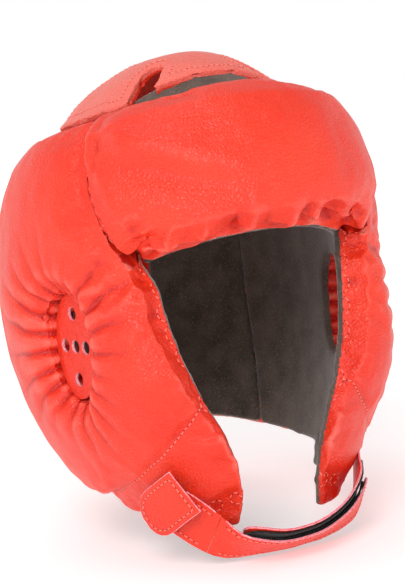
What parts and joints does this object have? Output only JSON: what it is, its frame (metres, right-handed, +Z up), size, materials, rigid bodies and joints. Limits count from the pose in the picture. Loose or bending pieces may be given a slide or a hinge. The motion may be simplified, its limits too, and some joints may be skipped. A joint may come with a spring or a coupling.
{
  "type": "boxing headgear",
  "caption": "Open-face padded boxing headgear with a vented crown, perforated ear panels, a hook-and-loop chin strap and a nape strap.",
  "frame": {"origin": "midway between the wearer's ear openings, where the head sits", "axes": "+Z up to the crown, -Y is where the wearer looks, +X towards the wearer's left"},
  "size_m": [0.2218, 0.2605, 0.2876],
  "materials": {
    "leatherette": "red pebbled synthetic leather, satin",
    "lining": "grey brushed lining",
    "hook_and_loop": "black hook-and-loop tape",
    "foam": "closed-cell foam, raw"
  },
  "bodies": {
    "headgear": {"cheek_flap_left_cover": "leatherette", "cheek_flap_left_foam": "foam", "cheek_flap_left_lining": "lining", "cheek_flap_right_cover": "leatherette", "cheek_flap_right_foam": "foam", "cheek_flap_right_lining": "lining", "chin_strap_anchor": "leatherette", "crown_cover": "leatherette", "crown_foam": "foam", "crown_lining": "lining", "ear_panel_left": "leatherette", "ear_panel_right": "leatherette", "front_pad_cover": "leatherette", "front_pad_foam": "foam", "front_pad_lining": "lining", "nape_loop_patch": "hook_and_loop", "rear_pad_left_cover": "leatherette", "rear_pad_left_foam": "foam", "rear_pad_left_lining": "lining", "rear_pad_right_cover": "leatherette", "rear_pad_right_foam": "foam", "rear_pad_right_lining": "lining", "side_pad_left_cover": "leatherette", "side_pad_left_foam": "foam", "side_pad_left_lining": "lining", "side_pad_right_cover": "leatherette", "side_pad_right_foam": "foam", "side_pad_right_lining": "lining"},
    "chin_strap": {"chin_strap": "leatherette", "chin_strap_hook_tape": "hook_and_loop"},
    "left_strap": {"left_strap": "leatherette", "left_strap_loop_tape": "hook_and_loop"},
    "keeper": {"keeper_tab": "leatherette", "keeper_hook_tape": "hook_and_loop"},
    "nape_strap": {"nape_strap": "leatherette", "nape_hook_tape": "hook_and_loop"}
  },
  "joints": [
    {"name": "chin_strap_open", "type": "hinge", "parent": "headgear", "child": "chin_strap", "pos_m": [-0.04288, -0.07498, -0.10888], "axis": [-0.1865, 0.5252, -0.8303], "range_deg": [0, 40]},
    {"name": "left_strap_open", "type": "hinge", "parent": "headgear", "child": "left_strap", "pos_m": [0.07021, -0.04223, -0.08534], "axis": [-0.2104, -0.7504, 0.6266], "range_deg": [0, 6]},
    {"name": "keeper_open", "type": "hinge", "parent": "headgear", "child": "keeper", "pos_m": [-0.05837, -0.07717, -0.08055], "axis": [-0.4356, 0.3546, 0.8274], "range_deg": [0, 115]},
    {"name": "nape_strap_open", "type": "hinge", "parent": "headgear", "child": "nape_strap", "pos_m": [0.04324, 0.13856, 0.02238], "axis": [0, 0, -1], "range_deg": [0, 110]}
  ],
  "couplings": [
    {"joint": "left_strap_open", "follows": "chin_strap_open", "ratio": 0.12}
  ]
}
